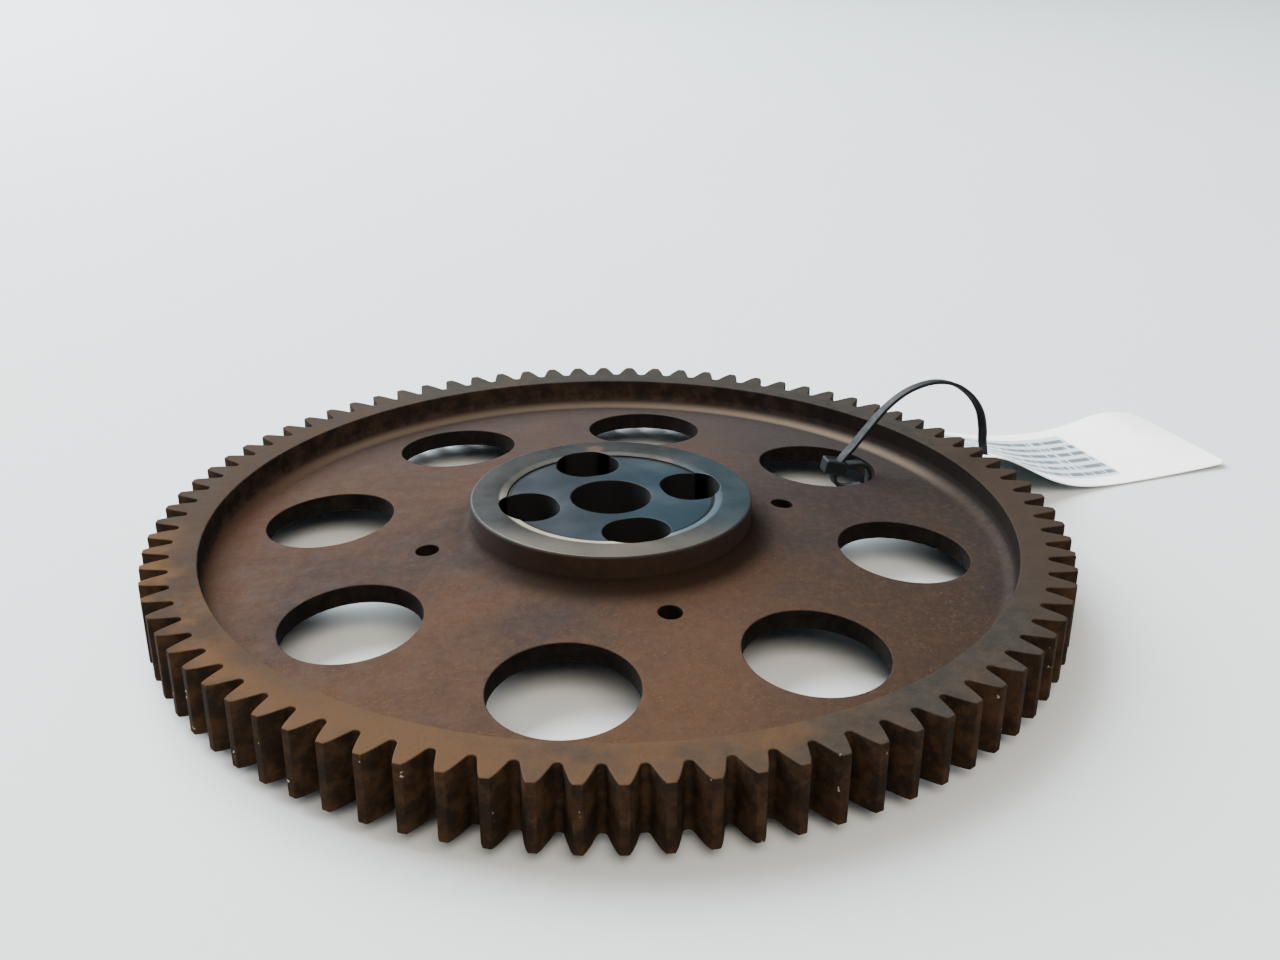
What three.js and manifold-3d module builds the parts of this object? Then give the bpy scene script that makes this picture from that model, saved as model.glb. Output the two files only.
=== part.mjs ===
// Straight-cut spur gear with a dished, perforated web and a thick hub with four bolt slots,
// with a cable tie looped through one web hole and round the rim, and a card tag hanging on the tie.
// Millimetres, +Z up along the gear's axis, origin at the centre of the hub's bottom face.

import * as THREE from 'three';
import { mergeVertices } from 'three/addons/utils/BufferGeometryUtils.js';
import Module from 'manifold-3d';

const wasm = await Module();
wasm.setup();

// ---------------------------------------------------------------- driving dimensions

const toothCount = 84;
const gearModule = 25.4 / 8;                 // 8 diametral pitch
const pressureAngle = degrees(20);
const rootRadius = 128.6;                    // bottom of the rounded tooth spaces
const flankFootRadius = 129.6;               // where the straight flank meets the root curve
const firstToothAngle = degrees(5.42);

const rimBottom = 4.0;                       // the hub stands this far below the rim
const faceWidth = 19.05;
const rimInnerRadius = 120.7;
const rimFillet = 4.1;

const webSlope = Math.tan(degrees(5.09));    // the web falls away outwards, like a shallow dish
const webThickness = 5.8;
const webHoleRadius = 19.6;
const webHoleCount = 8;
const webHoleCircle = 88.35;                 // radius of the circle through the hole centres
const firstWebHoleAngle = degrees(37.19);
const webTopAtHoleCircle = 16.5;             // height of the web's upper face at that circle

const drilledHoleRadius = 3.4;
const drilledHoleCount = 4;
const drilledHoleCircle = 56.25;
const firstDrilledHoleAngle = degrees(16.4);

const hubRadius = 42.4;
const hubHeight = 30.0;
const hubEdgeChamfer = 0.8;
const hubSeatGap = 0.3;
const hubFootFillet = 3.4;
const hubRingInnerRadius = 34.1;             // the flat ring ends here and bevels down to the recess
const recessRadius = 31.3;
const recessBevelDrop = 0.45;
const recessDepth = 0.8;
const boreRadius = 12.2;
const boreChamfer = 0.5;

const slotCount = 4;
const slotCircle = 25.25;
const slotWidth = 17.6;                      // across, along the hub's radius
const slotLength = 20.1;                     // end to end, around the hub
const firstSlotAngle = degrees(16.8);

const tieWidth = 3.6;
const tieThickness = 1.2;
const tiePivot = new THREE.Vector2(77.0, 47.6);   // where the tie comes up through its web hole
const tieAngle = degrees(11.5);                   // direction of the tie's loop, seen from above
const tieHead = { length: 6.6, width: 5.6, height: 4.6, out: -1.6, up: 18.8, tilt: degrees(-12) };
const tagHoleReach = 52.6;                        // from the pivot to the tag's hole, along the loop

// The tie's centre line in its own plane: [distance out from the pivot, height above the hub's base].
const tieRoute = [
  [-1.0, 18.6], [4.0, 19.0], [8.2, 18.6], [10.6, 15.6], [10.6, 11.4], [12.0, 7.2],
  [17.5, 3.5], [28.0, 2.4], [40.0, 2.4], [46.8, 2.6], [51.6, 5.4], [53.4, 10.6],
  [tagHoleReach, 17.9], [51.6, 23.4], [51.1, 28.2], [49.3, 34.7], [45.5, 40.2],
  [39.3, 44.7], [32.0, 46.2], [23.0, 44.0], [15.5, 38.7], [9.4, 31.7], [4.4, 25.4],
  [0.2, 20.4], [-1.9, 15.6], [-1.0, 12.4], [2.0, 11.0], [5.4, 10.7], [8.2, 11.0],
];

const tag = {
  angle: degrees(20),                        // direction of the tag's length, seen from above
  start: 137.2,                              // distance from the gear's axis to the tag's near end
  side: 5.0,                                 // distance from the gear's axis to its lower long edge
  length: 107.8,
  width: 52.0,
  thickness: 0.5,
  clearance: 0.3,                            // under the stretch that lies lowest
  cornerRadius: 3.0,
  holeRadius: 2.3,
};

// ---------------------------------------------------------------- small helpers

function degrees(angle) {
  return angle * Math.PI / 180;
}

function polar(radius, angle) {
  return new THREE.Vector2(radius * Math.cos(angle), radius * Math.sin(angle));
}

function mix(a, b, share) {
  return a + (b - a) * share;
}

// Points on an arc about (r, z), both ends included.
function arc(r, z, radius, from, to, steps) {
  const points = [];
  for (let i = 0; i <= steps; i++) {
    const angle = mix(from, to, i / steps);
    points.push(new THREE.Vector2(r + radius * Math.cos(angle), z + radius * Math.sin(angle)));
  }
  return points;
}

function toSolid(geometry) {
  const bare = geometry.clone();
  bare.deleteAttribute('normal');
  bare.deleteAttribute('uv');
  const merged = mergeVertices(bare, 1e-4);
  const mesh = new wasm.Mesh({
    numProp: 3,
    vertProperties: Float32Array.from(merged.attributes.position.array),
    triVerts: Uint32Array.from(merged.index.array),
  });
  return new wasm.Manifold(mesh);
}

function toGeometry(solid) {
  const mesh = solid.getMesh();
  const geometry = new THREE.BufferGeometry();
  geometry.setAttribute('position', new THREE.BufferAttribute(Float32Array.from(mesh.vertProperties), 3));
  geometry.setIndex(new THREE.BufferAttribute(Uint32Array.from(mesh.triVerts), 1));
  geometry.computeVertexNormals();
  return geometry;
}

// A closed profile of (radius, height) points turned about the Z axis.
function turned(profile, segments) {
  const lathe = new THREE.LatheGeometry([...profile, profile[0]], segments);
  lathe.rotateX(Math.PI / 2);
  return toSolid(lathe);
}

// A flat outline raised from one height to another.
function raised(shape, bottom, top, curveSegments = 12) {
  const block = new THREE.ExtrudeGeometry(shape, { depth: top - bottom, bevelEnabled: false, curveSegments });
  block.translate(0, 0, bottom);
  return toSolid(block);
}

function drill(centre, radius, bottom, top, segments) {
  const cylinder = new THREE.CylinderGeometry(radius, radius, top - bottom, segments);
  cylinder.rotateX(Math.PI / 2);
  cylinder.translate(centre.x, centre.y, (bottom + top) / 2);
  return toSolid(cylinder);
}

function metal(color, roughness, metalness) {
  return new THREE.MeshStandardMaterial({ color, roughness, metalness });
}

// ---------------------------------------------------------------- toothed rim

const pitchRadius = gearModule * toothCount / 2;
const tipRadius = pitchRadius + gearModule;
const baseRadius = pitchRadius * Math.cos(pressureAngle);
const rimTop = rimBottom + faceWidth;

function involute(angle) {
  return Math.tan(angle) - angle;
}

// Half the tooth's angular thickness at a radius, on the involute flank.
function halfTooth(radius) {
  const flankAngle = Math.acos(baseRadius / radius);
  return Math.PI / (2 * toothCount) + involute(pressureAngle) - involute(flankAngle);
}

function toothOutline() {
  const points = [];
  const flank = [flankFootRadius, pitchRadius, tipRadius];
  for (let tooth = 0; tooth < toothCount; tooth++) {
    const centre = firstToothAngle + tooth * 2 * Math.PI / toothCount;
    points.push(polar(rootRadius, centre - Math.PI / toothCount));
    for (const radius of flank) {
      points.push(polar(radius, centre - halfTooth(radius)));
    }
    for (const radius of [...flank].reverse()) {
      points.push(polar(radius, centre + halfTooth(radius)));
    }
  }
  return points;
}

function toothedRing() {
  const outline = new THREE.Shape(toothOutline());
  const inside = new THREE.Path();
  inside.absarc(0, 0, rootRadius - 5, 0, 2 * Math.PI, true);
  outline.holes.push(inside);
  return raised(outline, rimBottom, rimTop, 42);
}

// ---------------------------------------------------------------- web and rim body

function webTop(radius) {
  return webTopAtHoleCircle - webSlope * (radius - webHoleCircle);
}

function webBottom(radius) {
  return webTop(radius) - webThickness;
}

function wheelBody() {
  const seat = hubRadius + hubSeatGap;
  const outer = rootRadius - 2.5;
  const rimFoot = rimInnerRadius - rimFillet;
  const hubFoot = seat + hubFootFillet;
  const quarter = Math.PI / 2;
  const profile = [
    ...arc(hubFoot, webBottom(hubFoot) - hubFootFillet, hubFootFillet, 2 * quarter, quarter, 2),
    ...arc(rimFoot, webBottom(rimFoot) - rimFillet, rimFillet, quarter, 0, 2),
    new THREE.Vector2(rimInnerRadius, rimBottom),
    new THREE.Vector2(outer, rimBottom),
    new THREE.Vector2(outer, rimTop),
    new THREE.Vector2(rimInnerRadius, rimTop),
    ...arc(rimFoot, webTop(rimFoot) + rimFillet, rimFillet, 0, -quarter, 3),
    ...arc(hubFoot, webTop(hubFoot) + hubFootFillet, hubFootFillet, -quarter, -2 * quarter, 3),
  ];
  return turned(profile, toothCount);
}

function gearWheel() {
  let wheel = wheelBody().add(toothedRing());
  for (let i = 0; i < webHoleCount; i++) {
    const centre = polar(webHoleCircle, firstWebHoleAngle + i * 2 * Math.PI / webHoleCount);
    wheel = wheel.subtract(drill(centre, webHoleRadius, 0, hubHeight, 36));
  }
  for (let i = 0; i < drilledHoleCount; i++) {
    const centre = polar(drilledHoleCircle, firstDrilledHoleAngle + i * 2 * Math.PI / drilledHoleCount);
    wheel = wheel.subtract(drill(centre, drilledHoleRadius, 0, hubHeight, 14));
  }
  return toGeometry(wheel);
}

// ---------------------------------------------------------------- hub

function hubBody() {
  const face = hubHeight - recessDepth;
  const mouth = boreRadius + boreChamfer;
  const profile = [
    new THREE.Vector2(mouth, 0),
    new THREE.Vector2(hubRadius - hubEdgeChamfer, 0),
    new THREE.Vector2(hubRadius, hubEdgeChamfer),
    new THREE.Vector2(hubRadius, hubHeight - hubEdgeChamfer),
    new THREE.Vector2(hubRadius - hubEdgeChamfer, hubHeight),
    new THREE.Vector2(hubRingInnerRadius, hubHeight),
    new THREE.Vector2(recessRadius, hubHeight - recessBevelDrop),
    new THREE.Vector2(recessRadius, face),
    new THREE.Vector2(mouth, face),
    new THREE.Vector2(boreRadius, face - boreChamfer),
    new THREE.Vector2(boreRadius, boreChamfer),
  ];
  return turned(profile, 60);
}

// One slot, centred on the +X axis: two half circles joined by a short straight stretch.
function slotShape() {
  const radius = slotWidth / 2;
  const reach = (slotLength - slotWidth) / 2;
  const shape = new THREE.Shape();
  shape.absarc(slotCircle, reach, radius, 0, Math.PI, false);
  shape.absarc(slotCircle, -reach, radius, Math.PI, 2 * Math.PI, false);
  return shape;
}

function hub() {
  let body = hubBody();
  for (let i = 0; i < slotCount; i++) {
    const angle = firstSlotAngle + i * 2 * Math.PI / slotCount;
    const turn = angle * 180 / Math.PI;
    body = body.subtract(raised(slotShape(), -1, hubHeight + 1, 10).rotate([0, 0, turn]));
  }
  return toGeometry(body);
}

// ---------------------------------------------------------------- cable tie

// Strap and head are one moulding. The strap leaves the head's side, goes down through the web hole,
// under the rim, up through the tag and over the rim, runs through the head and ends in a short tail.
function cableTie() {
  const route = tieRoute.map(([out, up]) => new THREE.Vector3(out, up, 0));
  const centreLine = new THREE.CatmullRomCurve3(route, false, 'centripetal');
  const section = new THREE.Shape([
    new THREE.Vector2(-tieWidth / 2, -tieThickness / 2),
    new THREE.Vector2(tieWidth / 2, -tieThickness / 2),
    new THREE.Vector2(tieWidth / 2, tieThickness / 2),
    new THREE.Vector2(-tieWidth / 2, tieThickness / 2),
  ]);
  const strap = new THREE.ExtrudeGeometry(section, { steps: 72, extrudePath: centreLine, bevelEnabled: false });
  const head = new THREE.BoxGeometry(tieHead.length, tieHead.height, tieHead.width);
  head.rotateZ(tieHead.tilt);
  head.translate(tieHead.out, tieHead.up, 0);
  return toGeometry(toSolid(strap).add(toSolid(head)));
}

// ---------------------------------------------------------------- tag

// Height of the tag's underside. It is held up at the tie, dips until it lies along the ground and
// lifts a little at its far end. along runs from the near end, across from the lower long edge, 0 to 1.
function tagHeight(along, across) {
  const held = mix(19, 9, across) * Math.exp(-((along / mix(28, 32, across)) ** 2));
  const ripple = 4.3 * across * Math.exp(-(((along - 92) / 17) ** 2));
  const curl = 1.2 * (1 - across) * (along / tag.length) ** 6;
  return tag.clearance + held + ripple + curl;
}

function tagOutline() {
  const right = tag.length - tag.cornerRadius;
  const back = tag.width - tag.cornerRadius;
  const quarter = Math.PI / 2;
  const shape = new THREE.Shape();
  shape.absarc(tag.cornerRadius, tag.cornerRadius, tag.cornerRadius, 2 * quarter, 3 * quarter, false);
  shape.absarc(right, tag.cornerRadius, tag.cornerRadius, 3 * quarter, 4 * quarter, false);
  shape.absarc(right, back, tag.cornerRadius, 0, quarter, false);
  shape.absarc(tag.cornerRadius, back, tag.cornerRadius, quarter, 2 * quarter, false);
  return shape;
}

function tagCard(holeCentre) {
  const blank = new THREE.BoxGeometry(tag.length + 2, tag.width + 2, tag.thickness, 26, 5, 1);
  blank.translate(tag.length / 2, tag.width / 2, tag.thickness / 2);
  const corners = blank.attributes.position;
  for (let i = 0; i < corners.count; i++) {
    const along = corners.getX(i);
    const across = corners.getY(i) / tag.width;
    corners.setZ(i, corners.getZ(i) + tagHeight(along, across));
  }
  const outline = raised(tagOutline(), -1, hubHeight, 4);
  const hole = drill(holeCentre, tag.holeRadius, -1, hubHeight, 20);
  return toGeometry(toSolid(blank).intersect(outline).subtract(hole));
}

// ---------------------------------------------------------------- assembly

const assembly = new THREE.Group();

function place(group, name, geometry, material) {
  const mesh = new THREE.Mesh(geometry, material);
  mesh.name = name;
  group.add(mesh);
  return mesh;
}

place(assembly, 'gear_wheel', gearWheel(), metal(0x5a4335, 0.75, 0.6));
place(assembly, 'hub', hub(), metal(0x565a5e, 0.45, 0.85));

const tieGroup = new THREE.Group();
tieGroup.position.set(tiePivot.x, tiePivot.y, 0);
tieGroup.rotation.z = tieAngle;
assembly.add(tieGroup);
const tie = place(tieGroup, 'cable_tie', cableTie(), metal(0x15171a, 0.45, 0));
tie.rotation.x = Math.PI / 2;

const tagHole = polar(tagHoleReach, tieAngle).add(tiePivot).rotateAround(new THREE.Vector2(), -tag.angle);
tagHole.sub(new THREE.Vector2(tag.start, tag.side));
const tagGroup = new THREE.Group();
tagGroup.rotation.z = tag.angle;
assembly.add(tagGroup);
const tagMesh = place(tagGroup, 'part_tag', tagCard(tagHole), metal(0xe9ecec, 0.5, 0));
tagMesh.position.set(tag.start, tag.side, 0);

export default assembly;
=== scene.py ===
"""A rusty spur gear with a slotted hub, a cable tie round its rim and a card tag on the tie."""

import math

import bmesh
import bpy
import numpy as np
from mathutils import Matrix, Vector
from mathutils.geometry import delaunay_2d_cdt


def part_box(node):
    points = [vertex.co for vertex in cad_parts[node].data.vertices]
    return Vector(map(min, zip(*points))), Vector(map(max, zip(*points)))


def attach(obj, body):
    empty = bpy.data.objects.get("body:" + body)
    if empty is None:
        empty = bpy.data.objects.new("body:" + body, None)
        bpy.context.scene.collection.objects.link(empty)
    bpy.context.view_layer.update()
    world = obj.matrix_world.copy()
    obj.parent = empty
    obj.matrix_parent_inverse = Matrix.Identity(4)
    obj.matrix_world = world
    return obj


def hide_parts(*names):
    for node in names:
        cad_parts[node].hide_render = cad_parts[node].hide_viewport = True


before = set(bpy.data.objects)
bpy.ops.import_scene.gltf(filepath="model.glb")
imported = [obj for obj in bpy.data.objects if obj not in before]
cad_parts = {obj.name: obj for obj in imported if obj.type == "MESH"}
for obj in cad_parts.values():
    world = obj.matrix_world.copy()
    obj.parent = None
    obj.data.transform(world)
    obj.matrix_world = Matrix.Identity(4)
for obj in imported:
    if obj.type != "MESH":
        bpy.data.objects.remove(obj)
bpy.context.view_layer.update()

# ---------------------------------------------------------------- sizes, in millimetres
# What the frame can tell is read from its boxes; the rest are the object's own sizes.

MM = 0.001
WHEEL_LOW, WHEEL_HIGH = (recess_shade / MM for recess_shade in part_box("gear_wheel"))
HUB_LOW, HUB_HIGH = (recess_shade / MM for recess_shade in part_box("hub"))

TEETH = 84
MODULE = 25.4 / 8
PITCH_RADIUS = MODULE * TEETH / 2
TIP_RADIUS = PITCH_RADIUS + MODULE
BASE_RADIUS = PITCH_RADIUS * math.cos(math.radians(20))
ROOT_RADIUS = 128.6
ROOT_ROUND = 1.25
TIP_ROUND = 0.4
FIRST_TOOTH = math.radians(5.42)
TOOTH_PITCH = 2 * math.pi / TEETH

RIM_BOTTOM = WHEEL_LOW.z
RIM_TOP = RIM_BOTTOM + 19.05
RIM_INNER = 120.7
RIM_FILLET = 4.1
EDGE_ROUND = 0.4

WEB_SLOPE = math.tan(math.radians(5.09))
WEB_THICKNESS = 5.8
WEB_HOLE_CIRCLE = 88.35
WEB_HOLE_RADIUS = 19.6
WEB_HOLE_ANGLES = [math.radians(37.19 + 45 * i) for i in range(8)]
WEB_TOP_AT_CIRCLE = 16.5

DRILLED_CIRCLE = 56.25
DRILLED_RADIUS = 3.4
DRILLED_ANGLES = [math.radians(16.4 + 90 * i) for i in range(4)]

HUB_RADIUS = 42.4
HUB_TOP = HUB_HIGH.z
HUB_CHAMFER = 0.8
HUB_FOOT_FILLET = 3.4
RING_INNER = 34.1
RECESS_RADIUS = 31.3
RECESS_BEVEL = 0.45
RECESS_DEPTH = 0.8
RECESS_WALL_LEAN = 0.12
BORE_RADIUS = 12.2
BORE_ROUND = 0.25
SLOT_CIRCLE = 25.25
SLOT_RADIUS = 8.8
SLOT_REACH = 1.25
SLOT_ANGLES = [math.radians(16.8 + 90 * i) for i in range(4)]
SLOT_EDGE = 0.15

TIE_PIVOT = Vector((77.0, 47.6))
TIE_ANGLE = math.radians(11.5)
TIE_WIDTH = 3.6
TIE_THICKNESS = 1.2
HEAD_SIZE = (7.4, 5.6, 4.8)
HEAD_OUT = -2.0
HEAD_UP = 18.8
HEAD_TILT = math.radians(12)
TAG_HOLE_REACH = 52.6
# The tie's centre line in its own plane: distance out from the pivot, height above the hub's base.
TIE_ROUTE = [
    (-1.0, 18.6), (4.0, 19.0), (8.2, 18.6), (10.6, 15.6), (10.6, 11.4), (12.0, 7.2),
    (17.5, 3.5), (28.0, 2.4), (40.0, 2.4), (46.8, 2.6), (51.6, 5.4), (53.4, 10.6),
    (TAG_HOLE_REACH, 17.9), (51.6, 23.4), (51.1, 28.2), (49.3, 34.7), (45.5, 40.2),
    (39.3, 44.7), (32.0, 46.2), (23.0, 44.0), (15.5, 38.7), (9.4, 31.7), (4.4, 25.4),
    (0.2, 20.4), (-1.9, 15.6), (-1.0, 12.4), (2.0, 11.0), (5.4, 10.7), (8.2, 11.0),
]

TAG_ANGLE = math.radians(20)
TAG_START = 137.2
TAG_SIDE = 5.0
TAG_LENGTH = 107.8
TAG_WIDTH = 52.0
TAG_THICKNESS = 0.5
TAG_CLEARANCE = 0.3
TAG_CORNER = 3.0
TAG_HOLE_RADIUS = 2.3
TAG_EDGE_ROUND = 0.12


def mix(a, b, share):
    return a + (b - a) * share


def polar(radius, angle):
    return (radius * math.cos(angle), radius * math.sin(angle))


def circle(centre, radius, count, start=0.0):
    step = 2 * math.pi / count
    return [
        (centre[0] + radius * math.cos(start + i * step),
         centre[1] + radius * math.sin(start + i * step))
        for i in range(count)
    ]


# ---------------------------------------------------------------- camera

def make_camera():
    """Low in front of the gear, looking at its rim's centre."""
    elevation = math.radians(25.10)
    distance = 3.116 * TIP_RADIUS * MM
    target = Vector((0, 0, RIM_TOP * MM))
    eye = target + distance * Vector((0, -math.cos(elevation), math.sin(elevation)))
    forward = (target - eye).normalized()
    right = Vector((1, 0, 0))
    up = right.cross(forward)
    for degrees, about in ((-1.19, "up"), (1.42, "right"), (0.28, "forward")):
        axis = {"up": up, "right": right, "forward": forward}[about]
        turn = Matrix.Rotation(math.radians(degrees), 3, axis)
        forward, right, up = turn @ forward, turn @ right, turn @ up
    data = bpy.data.cameras.new("camera")
    data.lens = 39.38
    data.sensor_width = 36
    data.clip_start = 0.01
    camera = bpy.data.objects.new("camera", data)
    facing = Matrix((right, up, -forward)).transposed()
    camera.matrix_world = Matrix.Translation(eye) @ facing.to_4x4()
    bpy.context.scene.collection.objects.link(camera)
    bpy.context.scene.camera = camera


# ---------------------------------------------------------------- solids from a plan

class Plan:
    """A flat outline with points inside, from which a solid with a shaped top and bottom is made.

    Each point carries how much height its edge's rounding takes off there, from top and bottom.
    """

    def __init__(self):
        self.points = []
        self.rounds = []
        self.edges = []

    def add_points(self, points, rounded=0.0):
        first = len(self.points)
        self.points.extend(Vector(p) for p in points)
        self.rounds.extend([rounded] * len(points))
        return first

    def add_loop(self, points, rounded=0.0):
        first = self.add_points(points, rounded)
        count = len(points)
        self.edges.extend((first + i, first + (i + 1) % count) for i in range(count))

    def solid(self, name, inside, top, bottom):
        """inside(x, y) keeps triangles by their centres; top and bottom give heights in millimetres."""
        verts, _, faces, origins, _, _ = delaunay_2d_cdt(self.points, self.edges, [], 0, 1e-6)
        flat = np.array([(v.x, v.y) for v in verts])
        rounds = np.zeros(len(flat))
        for i, sources in enumerate(origins):
            if sources:
                rounds[i] = self.rounds[sources[0]]
        triangles = np.array(faces)
        centres = flat[triangles].mean(axis=1)
        triangles = triangles[inside(centres[:, 0], centres[:, 1])]
        used = np.unique(triangles)
        renumber = np.full(len(flat), -1)
        renumber[used] = np.arange(len(used))
        triangles = renumber[triangles]
        flat, rounds = flat[used], rounds[used]
        count = len(flat)
        upper = np.column_stack([flat, top(flat[:, 0], flat[:, 1], rounds)])
        lower = np.column_stack([flat, bottom(flat[:, 0], flat[:, 1], rounds)])
        sides = np.vstack([triangles[:, [0, 1]], triangles[:, [1, 2]], triangles[:, [2, 0]]])
        seen = {(a, b) for a, b in sides.tolist()}
        walls = [(a, a + count, b + count, b) for a, b in seen if (b, a) not in seen]
        everything = triangles.tolist() + (triangles[:, ::-1] + count).tolist() + sorted(walls)
        mesh = bpy.data.meshes.new(name)
        mesh.from_pydata((np.vstack([upper, lower]) * MM).tolist(), [], everything)
        mesh.validate()
        return mesh


def add_piece(name, mesh, body, sharp_degrees=35):
    """Makes the object, shaded smooth with sharp edges kept and flat faces kept flat."""
    piece = bpy.data.objects.new(name, mesh)
    bpy.context.scene.collection.objects.link(piece)
    shaped = bmesh.new()
    shaped.from_mesh(mesh)
    limit = math.radians(sharp_degrees)
    for edge in shaped.edges:
        edge.smooth = len(edge.link_faces) == 2 and edge.calc_face_angle(0) < limit
    for face in shaped.faces:
        face.smooth = True
    shaped.to_mesh(mesh)
    shaped.free()
    weighted = piece.modifiers.new("flat_faces", "WEIGHTED_NORMAL")
    weighted.keep_sharp = True
    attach(piece, body)
    return piece


def edge_rounding(radius, steps):
    """(distance in from the edge, height lost there) along a quarter circle."""
    found = []
    for i in range(steps + 1):
        angle = math.pi / 2 * i / steps
        found.append((radius * (1 - math.cos(angle)), radius * (1 - math.sin(angle))))
    return found


# ---------------------------------------------------------------- gear wheel

def involute(angle):
    return math.tan(angle) - angle


def half_tooth(radius):
    """Half a tooth's angular thickness at a radius, on its involute flank."""
    flank = np.arccos(BASE_RADIUS / radius)
    pressure = math.radians(20)
    return math.pi / (2 * TEETH) + involute(pressure) - (np.tan(flank) - flank)


def tooth_profile():
    """One pitch of the outline, from one space's floor to the next, as (radius, angle) pairs."""
    root_centre = ROOT_RADIUS + ROOT_ROUND
    half = []
    for i in range(4):
        angle = math.radians(8 + 72 * i / 3)
        across = ROOT_ROUND * math.sin(angle)
        radius = root_centre - ROOT_ROUND * math.cos(angle)
        half.append((radius, -TOOTH_PITCH / 2 + across / radius))
    for radius in (130.6, 132.2, 133.8, 135.2):
        half.append((radius, -half_tooth(radius)))
    tip_half = half_tooth(TIP_RADIUS)
    for i in range(3):
        angle = math.pi / 2 * (i + 0.5) / 3
        radius = TIP_RADIUS - TIP_ROUND * (1 - math.sin(angle))
        half.append((radius, -tip_half + TIP_ROUND * (1 - math.cos(angle)) / radius))
    return half + [(radius, -angle) for radius, angle in reversed(half)]


def gear_outline():
    profile = tooth_profile()
    points = []
    for tooth in range(TEETH):
        centre = FIRST_TOOTH + tooth * TOOTH_PITCH
        points.extend(polar(radius, centre + angle) for radius, angle in profile)
    return np.array(points)


def moved_inwards(outline, distance):
    """The closed outline, which runs counter-clockwise, moved towards its inside."""
    ahead = np.roll(outline, -1, axis=0) - outline
    behind = np.roll(ahead, 1, axis=0)
    ahead /= np.linalg.norm(ahead, axis=1)[:, None]
    behind /= np.linalg.norm(behind, axis=1)[:, None]
    along = ahead + behind
    along /= np.linalg.norm(along, axis=1)[:, None]
    normal = np.column_stack([-along[:, 1], along[:, 0]])
    spread = np.clip(np.sum(along * ahead, axis=1), 0.6, 1)
    return outline + normal * (distance / spread)[:, None]


def within(outline, x, y):
    """Which points lie inside a closed outline, by counting crossings to the right."""
    found = np.zeros(len(x), bool)
    for (ax, ay), (bx, by) in zip(outline, np.roll(outline, -1, axis=0)):
        if ay == by:
            continue
        crosses = (ay > y) != (by > y)
        at = ax + (y - ay) * (bx - ax) / (by - ay)
        found ^= crosses & (x < at)
    return found


def web_top(radius):
    return WEB_TOP_AT_CIRCLE - WEB_SLOPE * (radius - WEB_HOLE_CIRCLE)


def dish(radius, rim_height, web_height, side):
    """Height of the wheel's face at each radius; side is 1 for the upper face, -1 for the lower."""
    rim_foot = RIM_INNER - RIM_FILLET
    hub_foot = HUB_RADIUS + HUB_FOOT_FILLET
    out = np.clip(radius - rim_foot, 0, RIM_FILLET - 0.02)
    inward = np.clip(hub_foot - radius, 0, HUB_FOOT_FILLET - 0.01)
    web = web_height(np.clip(radius, hub_foot, rim_foot))
    height = web + side * (RIM_FILLET - np.sqrt(RIM_FILLET**2 - out**2))
    height = height + side * (HUB_FOOT_FILLET - np.sqrt(HUB_FOOT_FILLET**2 - inward**2))
    from_edge = np.clip(radius - RIM_INNER, 0, EDGE_ROUND)
    rim = rim_height - side * (EDGE_ROUND - np.sqrt(EDGE_ROUND**2 - (EDGE_ROUND - from_edge) ** 2))
    return np.where(radius >= RIM_INNER - 0.005, rim, height)


def distance_to_holes(x, y):
    nearest = np.full(len(x), 1e9)
    for circle_radius, hole, angles in (
        (WEB_HOLE_CIRCLE, WEB_HOLE_RADIUS, WEB_HOLE_ANGLES),
        (DRILLED_CIRCLE, DRILLED_RADIUS, DRILLED_ANGLES),
    ):
        for angle in angles:
            cx, cy = polar(circle_radius, angle)
            nearest = np.minimum(nearest, np.hypot(x - cx, y - cy) - hole)
    return nearest


def build_wheel():
    plan = Plan()
    outline = gear_outline()
    for inset, lost in edge_rounding(EDGE_ROUND, 3):
        plan.add_loop(moved_inwards(outline, inset).tolist(), lost)
    around = 4 * TEETH
    plan.add_loop(circle((0, 0), RIM_INNER + 2, around))
    for inset, _ in edge_rounding(EDGE_ROUND, 3):
        plan.add_loop(circle((0, 0), RIM_INNER + inset, around))
    for i in range(8):
        angle = math.radians(11.5 * i)
        plan.add_loop(circle((0, 0), RIM_INNER - RIM_FILLET * (1 - math.sin(angle)), around))
    plan.add_loop(circle((0, 0), RIM_INNER - 0.02, around))
    for i in range(7):
        angle = math.radians(14 * i)
        plan.add_loop(circle((0, 0), HUB_RADIUS + HUB_FOOT_FILLET * (1 - math.sin(angle)), 168))
    plan.add_loop(circle((0, 0), HUB_RADIUS + 0.01, 168))
    for ring in range(17):
        radius = mix(50, 113, ring / 16)
        points = circle((0, 0), radius, 168, (ring % 2) * math.pi / 168)
        x, y = np.array(points).T
        clear = distance_to_holes(x, y) > 1.4
        plan.add_points([p for p, keep in zip(points, clear) if keep])
    for circle_radius, hole, angles, count in (
        (WEB_HOLE_CIRCLE, WEB_HOLE_RADIUS, WEB_HOLE_ANGLES, 96),
        (DRILLED_CIRCLE, DRILLED_RADIUS, DRILLED_ANGLES, 40),
    ):
        for angle in angles:
            for inset, lost in edge_rounding(EDGE_ROUND, 3):
                plan.add_loop(circle(polar(circle_radius, angle), hole + inset, count), lost)

    def inside(x, y):
        radius = np.hypot(x, y)
        keep = (radius > HUB_RADIUS) & (distance_to_holes(x, y) > -0.02)
        outer = radius > ROOT_RADIUS - 1
        keep[outer] = within(outline, x[outer], y[outer])
        return keep

    def top(x, y, rounds):
        return dish(np.hypot(x, y), RIM_TOP, web_top, 1) - rounds

    def bottom(x, y, rounds):
        return dish(np.hypot(x, y), RIM_BOTTOM, lambda r: web_top(r) - WEB_THICKNESS, -1) + rounds

    wheel = add_piece("wheel_surface", plan.solid("wheel_surface", inside, top, bottom), "gear")
    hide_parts("gear_wheel")
    return wheel


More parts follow.
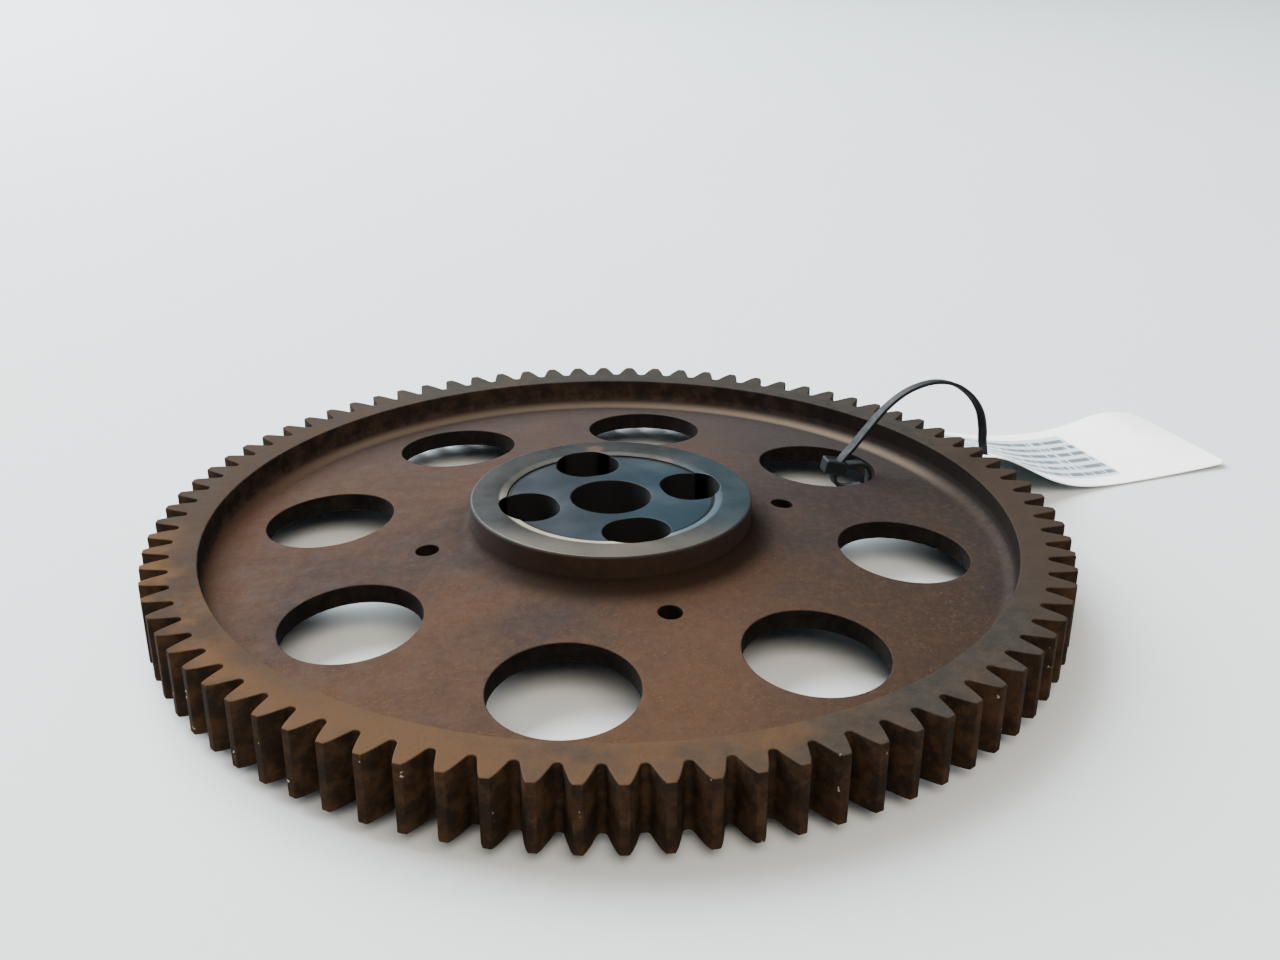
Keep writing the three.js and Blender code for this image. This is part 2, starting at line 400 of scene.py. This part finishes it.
# ---------------------------------------------------------------- hub

def distance_to_slots(x, y):
    nearest = np.full(len(x), 1e9)
    for angle in SLOT_ANGLES:
        along = x * math.cos(angle) + y * math.sin(angle) - SLOT_CIRCLE
        across = -x * math.sin(angle) + y * math.cos(angle)
        past = np.maximum(np.abs(across) - SLOT_REACH, 0)
        nearest = np.minimum(nearest, np.hypot(along, past) - SLOT_RADIUS)
    return nearest


def slot_outline(angle, grown):
    radius = SLOT_RADIUS + grown
    points = []
    for side, start in ((1, 0), (-1, math.pi)):
        for i in range(33):
            turn = start + math.pi * i / 32
            along = SLOT_CIRCLE + radius * math.cos(turn)
            across = side * SLOT_REACH + radius * math.sin(turn)
            points.append((
                along * math.cos(angle) - across * math.sin(angle),
                along * math.sin(angle) + across * math.cos(angle),
            ))
    return points


def rounded_off(distance, radius):
    """Height lost at a distance in from an edge that is rounded to a radius."""
    near = np.clip(distance, 0, radius)
    return radius - np.sqrt(radius**2 - (radius - near) ** 2)


def build_hub():
    plan = Plan()
    around = 288
    for inset, _ in edge_rounding(HUB_CHAMFER, 4):
        plan.add_loop(circle((0, 0), HUB_RADIUS - inset, around))
    recess_foot = RECESS_RADIUS - RECESS_WALL_LEAN
    for radius in (RING_INNER, RECESS_RADIUS, recess_foot, recess_foot - 0.5):
        plan.add_loop(circle((0, 0), radius, around))
    for radius in (38, 22, 17):
        points = circle((0, 0), radius, around)
        x, y = np.array(points).T
        clear = distance_to_slots(x, y) > 0.8
        plan.add_points([p for p, keep in zip(points, clear) if keep])
    for inset, _ in edge_rounding(BORE_ROUND, 3):
        plan.add_loop(circle((0, 0), BORE_RADIUS + inset, 120))
    for angle in SLOT_ANGLES:
        for inset, _ in edge_rounding(SLOT_EDGE, 3):
            plan.add_loop(slot_outline(angle, inset))

    def edges(x, y):
        lost = np.maximum(
            rounded_off(distance_to_slots(x, y), SLOT_EDGE),
            rounded_off(np.hypot(x, y) - BORE_RADIUS, BORE_ROUND),
        )
        return np.maximum(lost, rounded_off(HUB_RADIUS - np.hypot(x, y), HUB_CHAMFER))

    def inside(x, y):
        return (distance_to_slots(x, y) > -0.01) & (np.hypot(x, y) > BORE_RADIUS - 0.05)

    def top(x, y, rounds):
        radius = np.hypot(x, y)
        floor = HUB_TOP - RECESS_DEPTH
        heights = [floor, floor, HUB_TOP - RECESS_BEVEL, HUB_TOP, HUB_TOP]
        breaks = [0, recess_foot, RECESS_RADIUS, RING_INNER, HUB_RADIUS]
        return np.interp(radius, breaks, heights) - edges(x, y)

    def bottom(x, y, rounds):
        return edges(x, y)

    hub = add_piece("hub_surface", plan.solid("hub_surface", inside, top, bottom), "gear")
    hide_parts("hub")
    return hub


# ---------------------------------------------------------------- cable tie

def smooth_route(points, step):
    """Evenly spaced points on a centripetal curve through the given ones."""
    pts = [np.array(p, float) for p in points]
    pts = [2 * pts[0] - pts[1], *pts, 2 * pts[-1] - pts[-2]]
    dense = []
    for p0, p1, p2, p3 in zip(pts, pts[1:], pts[2:], pts[3:]):
        t0 = 0.0
        t1 = t0 + math.sqrt(np.linalg.norm(p1 - p0))
        t2 = t1 + math.sqrt(np.linalg.norm(p2 - p1))
        t3 = t2 + math.sqrt(np.linalg.norm(p3 - p2))
        for t in np.linspace(t1, t2, 40, endpoint=False):
            a1 = (t1 - t) / (t1 - t0) * p0 + (t - t0) / (t1 - t0) * p1
            a2 = (t2 - t) / (t2 - t1) * p1 + (t - t1) / (t2 - t1) * p2
            a3 = (t3 - t) / (t3 - t2) * p2 + (t - t2) / (t3 - t2) * p3
            b1 = (t2 - t) / (t2 - t0) * a1 + (t - t0) / (t2 - t0) * a2
            b2 = (t3 - t) / (t3 - t1) * a2 + (t - t1) / (t3 - t1) * a3
            dense.append((t2 - t) / (t2 - t1) * b1 + (t - t1) / (t2 - t1) * b2)
    dense.append(pts[-2])
    dense = np.array(dense)
    along = np.concatenate([[0], np.cumsum(np.linalg.norm(np.diff(dense, axis=0), axis=1))])
    count = max(2, round(along[-1] / step))
    even = np.linspace(0, along[-1], count + 1)
    return np.column_stack([np.interp(even, along, dense[:, i]) for i in range(2)])


def tie_to_world(out, up, across):
    """From the tie's own plane to the gear's frame; across is square to the loop."""
    out_way = Vector((math.cos(TIE_ANGLE), math.sin(TIE_ANGLE), 0))
    across_way = Vector((-math.sin(TIE_ANGLE), math.cos(TIE_ANGLE), 0))
    start = Vector((TIE_PIVOT.x, TIE_PIVOT.y, 0))
    return (start + out_way * out + across_way * across + Vector((0, 0, up))) * MM


def strap_section(width, thickness, ridge):
    """A flat strap's section: rounded edges, and a raised or sunken middle on its toothed side."""
    w, t, r = width / 2, thickness / 2, thickness * 0.28
    return [
        (-w + r, -t), (-w * 0.55, -t), (-w * 0.5, -t + ridge), (w * 0.5, -t + ridge),
        (w * 0.55, -t), (w - r, -t), (w - r * 0.3, -t + r * 0.3), (w, -t + r),
        (w, t - r), (w - r * 0.3, t - r * 0.3),
        (w - r, t), (-w + r, t), (-w + r * 0.3, t - r * 0.3), (-w, t - r), (-w, -t + r),
        (-w + r * 0.3, -t + r * 0.3),
    ]


def strap_twist(share):
    """How far the strap has turned about its own run, from the head (0) to its cut end (1)."""
    stops = [0, 0.36, 0.42, 0.50, 0.58, 0.66, 0.74, 0.84, 0.90, 1]
    degrees = [0, 0, -14, -18, -14, -7, -2, 8, 8, 0]
    return math.radians(float(np.interp(share, stops, degrees)))


def build_strap():
    route = smooth_route(TIE_ROUTE, 0.5)
    ahead = np.gradient(route, axis=0)
    ahead /= np.linalg.norm(ahead, axis=1)[:, None]
    outwards = np.column_stack([ahead[:, 1], -ahead[:, 0]])
    verts, faces = [], []
    last = len(route) - 1
    for i, (point, out) in enumerate(zip(route, outwards)):
        ridge = 0.22 if i % 2 and 12 < i < last - 4 else 0.05
        taper = min(1.0, 0.75 + (last - i) * 0.06)
        twist = strap_twist(i / last)
        ring = strap_section(TIE_WIDTH * taper, TIE_THICKNESS, ridge)
        for wide, through in ring:
            outward = through * math.cos(twist) + wide * math.sin(twist)
            across = wide * math.cos(twist) - through * math.sin(twist)
            at = point + out * outward
            verts.append(tie_to_world(at[0], at[1], across))
    sides = len(ring)
    for i in range(last):
        for j in range(sides):
            k = (j + 1) % sides
            faces.append((i * sides + j, (i + 1) * sides + j, (i + 1) * sides + k, i * sides + k))
    faces.append(tuple(range(sides)))
    faces.append(tuple(last * sides + j for j in reversed(range(sides))))
    mesh = bpy.data.meshes.new("tie_strap")
    mesh.from_pydata(verts, [], faces)
    fix_outward(mesh)
    strap = add_piece("tie_strap", mesh, "tie", 40)
    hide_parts("cable_tie")
    return strap


def fix_outward(mesh):
    shaped = bmesh.new()
    shaped.from_mesh(mesh)
    bmesh.ops.recalc_face_normals(shaped, faces=shaped.faces)
    shaped.to_mesh(mesh)
    shaped.free()


def build_tie_head():
    """A small moulded box with rounded edges and a shallow pocket in its top."""
    shaped = bmesh.new()
    bmesh.ops.create_cube(shaped, size=1)
    bmesh.ops.scale(shaped, vec=HEAD_SIZE, verts=shaped.verts)
    edges = shaped.edges[:]
    bmesh.ops.bevel(shaped, geom=edges, offset=0.7, segments=3, profile=0.6, affect="EDGES")
    upper = max(shaped.faces, key=lambda f: (f.normal.z > 0.99) * f.calc_area())
    bmesh.ops.inset_region(shaped, faces=[upper], thickness=0.55, depth=0)
    bmesh.ops.translate(shaped, vec=(0, 0, -0.5), verts=upper.verts)
    turn = Matrix.Rotation(HEAD_TILT, 3, "Y")
    for vert in shaped.verts:
        x, across, z = turn @ vert.co
        vert.co = tie_to_world(HEAD_OUT + x, HEAD_UP + z, across)
    bmesh.ops.recalc_face_normals(shaped, faces=shaped.faces)
    mesh = bpy.data.meshes.new("tie_head")
    shaped.to_mesh(mesh)
    shaped.free()
    head = add_piece("tie_head", mesh, "tie", 50)
    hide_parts("cable_tie")
    return head


# ---------------------------------------------------------------- tag

def tag_height(along, across):
    """Height of the tag's underside; across runs from 0 at the lower long edge to 1."""
    held = mix(19, 9, across) * np.exp(-((along / mix(28, 32, across)) ** 2))
    ripple = 4.3 * across * np.exp(-(((along - 92) / 17) ** 2))
    curl = 1.2 * (1 - across) * (along / TAG_LENGTH) ** 6
    return TAG_CLEARANCE + held + ripple + curl


def tag_outline(inset):
    """The card's outline, with points close enough along its sides to follow its waves."""
    corners = []
    for x, y, start in (
        (TAG_CORNER, TAG_CORNER, 2), (TAG_LENGTH - TAG_CORNER, TAG_CORNER, 3),
        (TAG_LENGTH - TAG_CORNER, TAG_WIDTH - TAG_CORNER, 0), (TAG_CORNER, TAG_WIDTH - TAG_CORNER, 1),
    ):
        for i in range(7):
            angle = math.pi / 2 * (start + i / 6)
            radius = TAG_CORNER - inset
            corners.append(Vector((x + radius * math.cos(angle), y + radius * math.sin(angle))))
    points = []
    for here, ahead in zip(corners, corners[1:] + corners[:1]):
        pieces = max(1, round((ahead - here).length / 1.2))
        points.extend(here.lerp(ahead, i / pieces)[:] for i in range(pieces))
    return points


def build_tag():
    hole = Vector(polar(TAG_HOLE_REACH, TIE_ANGLE)) + TIE_PIVOT
    hole.rotate(Matrix.Rotation(-TAG_ANGLE, 2))
    hole -= Vector((TAG_START, TAG_SIDE))
    plan = Plan()
    for inset in (0, TAG_EDGE_ROUND):
        lost = TAG_EDGE_ROUND - inset
        plan.add_loop(tag_outline(inset), lost)
        plan.add_loop(circle(hole, TAG_HOLE_RADIUS + inset, 32), lost)
    for i in range(1, 72):
        for j in range(1, 34):
            x, y = TAG_LENGTH * i / 72, TAG_WIDTH * j / 34
            if math.hypot(x - hole.x, y - hole.y) > TAG_HOLE_RADIUS + 0.5:
                plan.add_points([(x, y)])
    outline = np.array(tag_outline(0))

    def inside(x, y):
        return within(outline, x, y) & (np.hypot(x - hole.x, y - hole.y) > TAG_HOLE_RADIUS - 0.03)

    def top(x, y, rounds):
        return tag_height(x, y / TAG_WIDTH) + TAG_THICKNESS - rounds

    def bottom(x, y, rounds):
        return tag_height(x, y / TAG_WIDTH) + rounds

    mesh = plan.solid("tag_card", inside, top, bottom)
    sheet = mesh.uv_layers.new(name="sheet")
    for loop in mesh.loops:
        at = mesh.vertices[loop.vertex_index].co / MM
        sheet.data[loop.index].uv = (at.x / TAG_LENGTH, at.y / TAG_WIDTH)
    turn = Matrix.Rotation(TAG_ANGLE, 4, "Z") @ Matrix.Translation((TAG_START * MM, TAG_SIDE * MM, 0))
    mesh.transform(turn)
    tag = add_piece("tag_card", mesh, "tag", 50)
    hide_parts("part_tag")
    return tag


# ---------------------------------------------------------------- materials

class Nodes:
    """A short way to write node materials."""

    def __init__(self, name):
        self.material = bpy.data.materials.new(name)
        self.material.use_nodes = True
        self.tree = self.material.node_tree
        self.shader = self.tree.nodes["Principled BSDF"]

    def node(self, kind, **inputs):
        made = self.tree.nodes.new(kind)
        for key, value in inputs.items():
            self.put(made.inputs[key], value)
        return made

    def put(self, socket, value):
        if isinstance(value, bpy.types.NodeSocket):
            self.tree.links.new(value, socket)
        elif isinstance(value, bpy.types.Node):
            self.tree.links.new(value.outputs[0], socket)
        else:
            socket.default_value = value

    def math(self, operation, a, b=0.0, clamp=False):
        made = self.tree.nodes.new("ShaderNodeMath")
        made.operation = operation
        made.use_clamp = clamp
        self.put(made.inputs[0], a)
        self.put(made.inputs[1], b)
        return made.outputs[0]

    def between(self, value, low, high, to_low=0.0, to_high=1.0):
        made = self.tree.nodes.new("ShaderNodeMapRange")
        made.interpolation_type = "SMOOTHSTEP"
        for socket, number in zip(list(made.inputs)[:5], (value, low, high, to_low, to_high)):
            self.put(socket, number)
        return made.outputs[0]

    def colours(self, share, a, b):
        made = self.tree.nodes.new("ShaderNodeMix")
        made.data_type = "RGBA"
        self.put(made.inputs["Factor"], share)
        self.put(made.inputs[6], a)
        self.put(made.inputs[7], b)
        return made.outputs[2]

    def noise(self, where, scale, detail=4.0, roughness=0.55):
        made = self.tree.nodes.new("ShaderNodeTexNoise")
        self.put(made.inputs["Vector"], where)
        made.inputs["Scale"].default_value = scale
        made.inputs["Detail"].default_value = detail
        made.inputs["Roughness"].default_value = roughness
        return made.outputs[0]

    def bump(self, height, strength, distance):
        made = self.tree.nodes.new("ShaderNodeBump")
        self.put(made.inputs["Height"], height)
        made.inputs["Strength"].default_value = strength
        made.inputs["Distance"].default_value = distance
        return made.outputs[0]

    def place(self):
        """Object coordinates in metres, and the radius made from them."""
        where = self.tree.nodes.new("ShaderNodeTexCoord").outputs["Object"]
        split = self.node("ShaderNodeSeparateXYZ", Vector=where)
        x, y, _ = split.outputs
        squares = self.math("ADD", self.math("MULTIPLY", x, x), self.math("MULTIPLY", y, y))
        return where, self.math("SQRT", squares)


def srgb(red, green, blue):
    """A shader colour from everyday 0 to 255 values."""
    def linear(value):
        share = value / 255
        return share / 12.92 if share <= 0.04045 else ((share + 0.055) / 1.055) ** 2.4
    return (linear(red), linear(green), linear(blue), 1)


def rusted_steel():
    """Old rust: brown on the web and front rim, greyer at the back with a painted sheen on the rim and a
    painted highlight on the fillet, dark on upright faces with painted shade on the hole walls, and a
    painted shadow beside the hub.
    """
    m = Nodes("rusted_steel")
    where, radius = m.place()
    x, y, _ = m.node("ShaderNodeSeparateXYZ", Vector=where).outputs
    normal = m.tree.nodes.new("ShaderNodeTexCoord").outputs["Normal"]
    facing = m.node("ShaderNodeSeparateXYZ", Vector=normal).outputs[2]
    level = m.math("ABSOLUTE", facing)
    blotches = m.noise(where, 16, 5, 0.6)
    patches = m.noise(where, 48, 5, 0.62)
    fine = m.noise(where, 170, 6, 0.7)
    sand = m.noise(where, 1100, 3, 0.7)

    # the web, redder on its left, paler in front, greyer at the back, and darker and greyer on its right,
    # partly its rust and partly painted shade
    leaning = m.math("ADD", m.math("MULTIPLY", x, -1.7), blotches)
    near = m.math("ADD", m.math("MULTIPLY", y, -1.5), m.math("MULTIPLY", blotches, 0.3))
    colour = m.colours(m.between(blotches, 0.36, 0.64), srgb(38, 31, 29), srgb(47, 39, 35))
    colour = m.colours(m.between(leaning, 0.38, 0.66, 0, 0.75), colour, srgb(58, 37, 25))
    colour = m.colours(m.between(near, 0.17, 0.30, 0, 0.8), colour, srgb(61, 43, 30))
    # darker on the right: partly the rust's own tone, partly painted shade from the light on the left
    colour = m.colours(m.between(x, 0.02, 0.09, 0, 0.6), colour, srgb(23, 19, 18))
    colour = m.colours(m.between(patches, 0.54, 0.76, 0, 0.25), colour, srgb(27, 20, 17))
    scratched = m.noise(where, 420, 6, 0.7)
    colour = m.colours(m.between(scratched, 0.46, 0.70, 0, 0.14), colour, srgb(84, 60, 43))
    colour = m.colours(m.between(scratched, 0.50, 0.32, 0, 0.16), colour, srgb(26, 20, 17))
    grains = m.between(fine, 0.42, 0.66, 0.05, 0.35)
    flecks = m.math("MULTIPLY", m.between(sand, 0.52, 0.78), grains)
    flecks = m.math("MULTIPLY", flecks, m.between(near, 0.12, 0.25, 0.3, 1.0))
    colour = m.colours(flecks, colour, srgb(110, 84, 64))
    colour = m.colours(m.between(y, 0.02, 0.08, 0, 0.5), colour, srgb(44, 39, 38))
    # a painted highlight along the rim's inner fillet, strongest at the back
    fillet_highlight = m.math("MULTIPLY", m.between(radius, 0.1145, 0.1176), m.between(radius, 0.1202, 0.1180))
    fillet_highlight = m.math("MULTIPLY", fillet_highlight, m.between(y, 0.02, 0.09, 0.05, 0.85))
    colour = m.colours(fillet_highlight, colour, srgb(96, 82, 70))

    # the flat rim: brown in front and on the left, grey at the back, where the grey is a painted sheen
    on_rim = m.between(radius, 0.1195, 0.1212)
    # the grey for the rim's back: a painted sheen on its top
    rim_tone_and_sheen = m.colours(m.between(fine, 0.32, 0.66), srgb(35, 31, 27), srgb(45, 40, 35))
    rusty = m.colours(m.between(fine, 0.30, 0.70), srgb(45, 34, 25), srgb(62, 45, 31))
    browner = m.math("ADD", m.math("MULTIPLY", y, -0.8), m.math("MULTIPLY", x, -1.6))
    browner = m.math("ADD", browner, m.math("MULTIPLY", patches, 0.5))
    rusty = m.colours(m.between(y, -0.075, -0.115, 0, 0.55), rusty, srgb(76, 53, 33))
    rim_tone_and_sheen = m.colours(m.between(browner, 0.18, 0.44), rim_tone_and_sheen, rusty)
    rim_tone_and_sheen = m.colours(m.between(x, 0.100, 0.124, 0, 0.7), rim_tone_and_sheen, srgb(44, 33, 26))
    rim_tone_and_sheen = m.colours(m.between(x, -0.07, -0.115, 0, 0.5), rim_tone_and_sheen, srgb(33, 23, 15))
    orange = m.math("ADD", m.math("MULTIPLY", x, -0.9), m.math("MULTIPLY", y, -0.45))
    orange = m.between(orange, 0.112, 0.130, 0, 0.35)
    orange = m.math("MULTIPLY", orange, m.between(patches, 0.40, 0.62))
    rim_tone_and_sheen = m.colours(orange, rim_tone_and_sheen, srgb(100, 66, 34))
    colour = m.colours(on_rim, colour, rim_tone_and_sheen)

    # upright faces: painted shade on the hole walls, a dark rim inside and dark rust on the teeth
    # near black for the hole walls: painted shade where little light reaches
    wall_shade_and_rust = m.colours(m.between(fine, 0.4, 0.65), srgb(13, 10, 8), srgb(24, 19, 15))
    inner = m.colours(m.between(fine, 0.4, 0.65), srgb(31, 24, 20), srgb(50, 38, 31))
    inner = m.colours(m.between(x, 0.03, 0.10, 0, 0.85), inner, srgb(18, 13, 11))
    wall_shade_and_rust = m.colours(m.between(radius, 0.1160, 0.1185), wall_shade_and_rust, inner)
    outside = m.between(radius, 0.1275, 0.1290)
    flank = m.colours(m.between(fine, 0.4, 0.66), srgb(26, 18, 12), srgb(50, 34, 21))
    flank = m.colours(m.between(patches, 0.52, 0.72, 0, 0.5), flank, srgb(58, 38, 26))
    wall_shade_and_rust = m.colours(outside, wall_shade_and_rust, flank)
    upright = m.math("MULTIPLY", m.between(level, 0.75, 0.45), m.between(radius, 0.0440, 0.0475))
    colour = m.colours(upright, colour, wall_shade_and_rust)

    # a painted shadow cast by the hub onto the web, in front and on the right
    lean = m.math("SUBTRACT", m.math("MULTIPLY", x, 0.6), y)
    hub_shadow = m.between(lean, -0.020, 0.024, 0.30, 0.85)
    hub_shadow = m.math("MULTIPLY", m.between(radius, 0.0530, 0.0430), hub_shadow)
    colour = m.colours(hub_shadow, colour, srgb(25, 17, 12))

    # bright nicks along the tips of the teeth
    at_tip = m.between(radius, 0.1352, 0.1362)
    nicks = m.math("MULTIPLY", at_tip, m.between(m.noise(where, 260, 3, 0.6), 0.68, 0.72))
    colour = m.colours(nicks, colour, srgb(160, 150, 138))

    m.put(m.shader.inputs["Base Color"], colour)
    m.put(m.shader.inputs["Metallic"], m.math("MULTIPLY", nicks, 0.8))
    m.shader.inputs["Specular IOR Level"].default_value = 0.05
    m.put(m.shader.inputs["Roughness"], m.between(fine, 0.3, 0.7, 0.70, 0.88))
    relief = m.math("ADD", m.math("MULTIPLY", fine, 0.6), m.math("MULTIPLY", sand, 0.4))
    m.put(m.shader.inputs["Normal"], m.bump(relief, 0.55, 0.0007))
    return m.material


def machined_steel():
    """Turned steel: a matt ring with a painted sheen in front, a painted highlight on the bevel, an oily
    dark disc with a painted blue reflection, grimy side and painted shade in the holes.
    """
    m = Nodes("machined_steel")
    where, radius = m.place()
    x, y, _ = m.node("ShaderNodeSeparateXYZ", Vector=where).outputs
    normal = m.tree.nodes.new("ShaderNodeTexCoord").outputs["Normal"]
    facing = m.node("ShaderNodeSeparateXYZ", Vector=normal).outputs[2]
    turning = m.node("ShaderNodeCombineXYZ", X=m.math("MULTIPLY", radius, 60.0), Y=0.0, Z=0.0)
    grooves = m.noise(turning, 60, 3, 0.7)
    stain = m.noise(where, 45, 5, 0.6)
    fine = m.noise(where, 260, 5, 0.65)
    # blue towards the right on the disc and ring: a painted reflection of blue surroundings
    rightwards = m.between(x, -0.022, 0.022)
    disc = m.colours(rightwards, srgb(36, 37, 41), srgb(32, 47, 54))
    disc = m.colours(m.between(stain, 0.45, 0.72, 0, 0.5), disc, srgb(50, 54, 57))
    ring = m.colours(m.between(fine, 0.35, 0.65), srgb(25, 23, 20), srgb(36, 32, 28))
    ring = m.colours(m.between(x, 0.012, 0.036, 0, 0.8), ring, srgb(44, 54, 58))
    # paler and warmer front of the ring: a painted sheen
    front = m.between(y, -0.016, -0.036)
    ring = m.colours(m.math("MULTIPLY", front, 0.7), ring, srgb(88, 79, 69))
    ring = m.colours(m.between(stain, 0.60, 0.72, 0, 0.55), ring, srgb(96, 68, 54))
    bevel = m.math("MULTIPLY", m.between(radius, 0.0312, 0.0316), m.between(radius, 0.0340, 0.0330))
    colour = m.colours(m.between(radius, 0.0311, 0.0314), disc, ring)
    # a painted highlight on the bevel: cream at the front-left, blue-grey on the right
    bright = m.math("MULTIPLY", bevel, m.between(y, 0.010, -0.020, 0.06, 0.85))
    bevel_highlight = m.colours(m.between(x, 0.002, 0.024), srgb(186, 172, 148), srgb(84, 98, 106))
    colour = m.colours(bright, colour, bevel_highlight)
    # a dark line at the foot of the recess wall: painted shade under the step
    recess_shade = m.between(radius, 0.0299, 0.0305)
    recess_shade = m.math("MULTIPLY", recess_shade, m.between(radius, 0.03150, 0.03135))
    colour = m.colours(m.math("MULTIPLY", recess_shade, 0.9), colour, srgb(18, 14, 12))
    level = m.math("ABSOLUTE", facing)
    edge = m.math("MULTIPLY", m.between(level, 0.97, 0.90), m.math("SUBTRACT", 1.0, bevel))
    colour = m.colours(edge, colour, srgb(30, 28, 26))
    upright = m.between(level, 0.7, 0.35)
    colour = m.colours(upright, colour, m.colours(fine, srgb(22, 14, 10), srgb(48, 30, 20)))
    # near black inside the bore and slots: painted shade deep in the holes
    hole_shade = m.math("MULTIPLY", upright, m.between(radius, 0.0400, 0.0380))
    colour = m.colours(hole_shade, colour, srgb(7, 6, 6))
    m.put(m.shader.inputs["Base Color"], colour)
    m.put(m.shader.inputs["Metallic"], m.math("MULTIPLY", m.math("SUBTRACT", 1.0, edge), 0.75))
    polish = m.between(stain, 0.3, 0.7, 0.34, 0.5)
    m.put(m.shader.inputs["Roughness"], m.math("ADD", polish, m.math("MULTIPLY", edge, 0.4), clamp=True))
    m.shader.inputs["Specular IOR Level"].default_value = 0.2
    m.put(m.shader.inputs["Normal"], m.bump(grooves, 0.12, 0.0002))
    return m.material


def black_nylon():
    m = Nodes("black_nylon")
    where, _ = m.place()
    grain = m.noise(where, 500, 3)
    m.put(m.shader.inputs["Base Color"], m.colours(grain, srgb(8, 10, 12), srgb(15, 18, 20)))
    m.put(m.shader.inputs["Roughness"], m.between(grain, 0.3, 0.7, 0.58, 0.70))
    m.shader.inputs["Specular IOR Level"].default_value = 0.2
    m.put(m.shader.inputs["Normal"], m.bump(grain, 0.1, 0.0001))
    return m.material


def laminated_card():
    """Pale card with rows of plain grey dashes that spell nothing, under a clear film."""
    m = Nodes("laminated_card")
    spot = m.tree.nodes.new("ShaderNodeTexCoord").outputs["UV"]
    u, v, _ = m.node("ShaderNodeSeparateXYZ", Vector=spot).outputs
    where, _ = m.place()
    rows = m.math("MULTIPLY", m.math("SUBTRACT", v, 0.14), 8.6)
    row = m.math("FLOOR", rows)
    within_row = m.math("FRACT", rows)
    along, line = m.math("MULTIPLY", u, 70.0), m.math("MULTIPLY", row, 7.3)
    letters = m.node("ShaderNodeCombineXYZ", X=along, Y=line, Z=0.0)
    words = m.between(m.noise(letters, 1.0, 2.0, 0.5), 0.40, 0.46)
    in_line = m.math("MULTIPLY", m.between(within_row, 0.20, 0.30), m.between(within_row, 0.80, 0.70))
    left, right = m.between(u, 0.03, 0.05), m.between(u, 0.615, 0.60)
    low, high = m.between(v, 0.12, 0.14), m.between(v, 0.88, 0.86)
    field = m.math("MULTIPLY", m.math("MULTIPLY", left, right), m.math("MULTIPLY", low, high))
    ink = m.math("MULTIPLY", m.math("MULTIPLY", words, in_line), field)
    cloud = m.noise(where, 30, 3)
    card = m.colours(m.between(cloud, 0.4, 0.6), srgb(250, 249, 243), srgb(254, 252, 245))
    card = m.colours(m.math("MULTIPLY", field, 0.9), card, srgb(176, 190, 196))
    m.put(m.shader.inputs["Base Color"], m.colours(m.math("MULTIPLY", ink, 0.85), card, srgb(52, 64, 72)))
    m.shader.inputs["Roughness"].default_value = 0.5
    m.shader.inputs["Coat Weight"].default_value = 0.4
    m.shader.inputs["Coat Roughness"].default_value = 0.2
    return m.material


def pale_floor():
    m = Nodes("pale_floor")
    where, _ = m.place()
    cloud = m.noise(where, 3, 3)
    m.put(m.shader.inputs["Base Color"], m.colours(cloud, srgb(190, 193, 195), srgb(197, 198, 197)))
    m.shader.inputs["Roughness"].default_value = 0.8
    m.shader.inputs["Specular IOR Level"].default_value = 0.15
    return m.material


# ---------------------------------------------------------------- floor and light

FLOOR_HALF_WIDTH = 12.0    # metres


def make_floor():
    half = FLOOR_HALF_WIDTH
    mesh = bpy.data.meshes.new("floor")
    corners = [(-half, -half, 0), (half, -half, 0), (half, half, 0), (-half, half, 0)]
    mesh.from_pydata(corners, [], [(0, 1, 2, 3)])
    mesh.materials.append(pale_floor())
    floor = bpy.data.objects.new("floor", mesh)
    bpy.context.scene.collection.objects.link(floor)


def area_light(name, place, target, size, power, colour):
    data = bpy.data.lights.new(name, "AREA")
    data.shape = "RECTANGLE"
    data.size, data.size_y = size
    data.energy = power
    data.color = colour
    light = bpy.data.objects.new(name, data)
    light.location = place
    light.rotation_euler = (Vector(target) - Vector(place)).to_track_quat("-Z", "Y").to_euler()
    bpy.context.scene.collection.objects.link(light)


def make_lights():
    """A big cool light above and behind to the left, a warm one in front, and a pale room."""
    area_light("key", (-1.5, 1.5, 1.9), (0, 0.2, 0), (2.6, 2.6), 460, (0.86, 0.95, 1.0))
    area_light("front", (0.3, -1.9, 2.2), (0, -0.6, 0), (2.6, 1.6), 110, (1.0, 0.90, 0.74))
    world = bpy.data.worlds.new("world")
    world.use_nodes = True
    tree = world.node_tree
    sky = tree.nodes["Background"]
    where = tree.nodes.new("ShaderNodeTexCoord")
    split = tree.nodes.new("ShaderNodeSeparateXYZ")
    ramp = tree.nodes.new("ShaderNodeValToRGB").color_ramp
    for place, colour in (
        (0.15, (0.20, 0.34, 0.42, 1)), (0.45, (0.20, 0.34, 0.42, 1)), (0.90, (0.95, 0.97, 1.0, 1)),
    ):
        ramp.elements.new(place).color = colour
    ramp.elements[0].color = (0.66, 0.70, 0.72, 1)
    ramp.elements[-1].color = (0.95, 0.97, 1.0, 1)
    tree.links.new(where.outputs["Generated"], split.inputs[0])
    tree.links.new(split.outputs["Z"], tree.nodes["Color Ramp"].inputs[0])
    tree.links.new(tree.nodes["Color Ramp"].outputs[0], sky.inputs["Color"])
    sky.inputs["Strength"].default_value = 0.9
    bpy.context.scene.world = world


def main():
    make_camera()
    wheel = build_wheel()
    wheel.data.materials.append(rusted_steel())
    hub = build_hub()
    hub.data.materials.append(machined_steel())
    nylon = black_nylon()
    build_strap().data.materials.append(nylon)
    build_tie_head().data.materials.append(nylon)
    build_tag().data.materials.append(laminated_card())
    make_floor()
    make_lights()


main()
